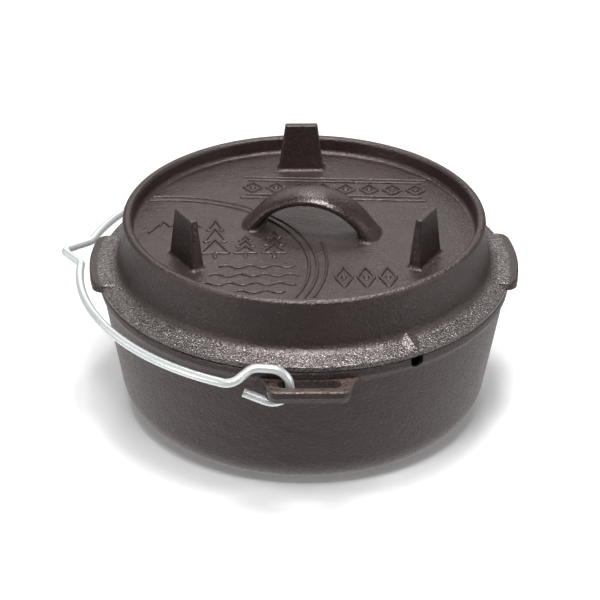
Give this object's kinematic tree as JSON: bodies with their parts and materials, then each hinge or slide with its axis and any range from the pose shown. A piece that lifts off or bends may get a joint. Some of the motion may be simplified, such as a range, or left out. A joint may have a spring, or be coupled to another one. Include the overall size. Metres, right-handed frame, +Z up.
{
  "type": "cast iron dutch oven",
  "caption": "Round cast iron camp pot with slotted ears, a flanged lid with legs, side lugs and a loop handle, and a swinging wire bail",
  "frame": {"origin": "centre of the pot's flat base", "axes": "+Z up; the ears are on -Y (front) and +Y (back); the lid's side lugs are on -X and +X; the bail lies on the -X side"},
  "size_m": [0.2705, 0.2727, 0.1417],
  "materials": {
    "pot_iron": "seasoned sand casting, fine grain",
    "lid_iron": "seasoned sand casting, fine grain",
    "bail_wire": "galvanised drawn wire"
  },
  "bodies": {
    "pot": {"pot": "pot_iron", "ear_front": "pot_iron", "ear_back": "pot_iron"},
    "lid": {"lid": "lid_iron", "handle": "lid_iron", "leg_back": "lid_iron", "leg_left": "lid_iron", "leg_right": "lid_iron"},
    "bail": {"bail": "bail_wire"}
  },
  "joints": [
    {"name": "lid_lift", "type": "slide", "parent": "pot", "child": "lid", "axis": [0, 0, 1], "range_m": [0, 0.15]},
    {"name": "bail_swing", "type": "hinge", "parent": "pot", "child": "bail", "pos_m": [0, 0, 0.0799], "axis": [0.1678, 0.9858, 0], "range_deg": [0, 122]}
  ]
}
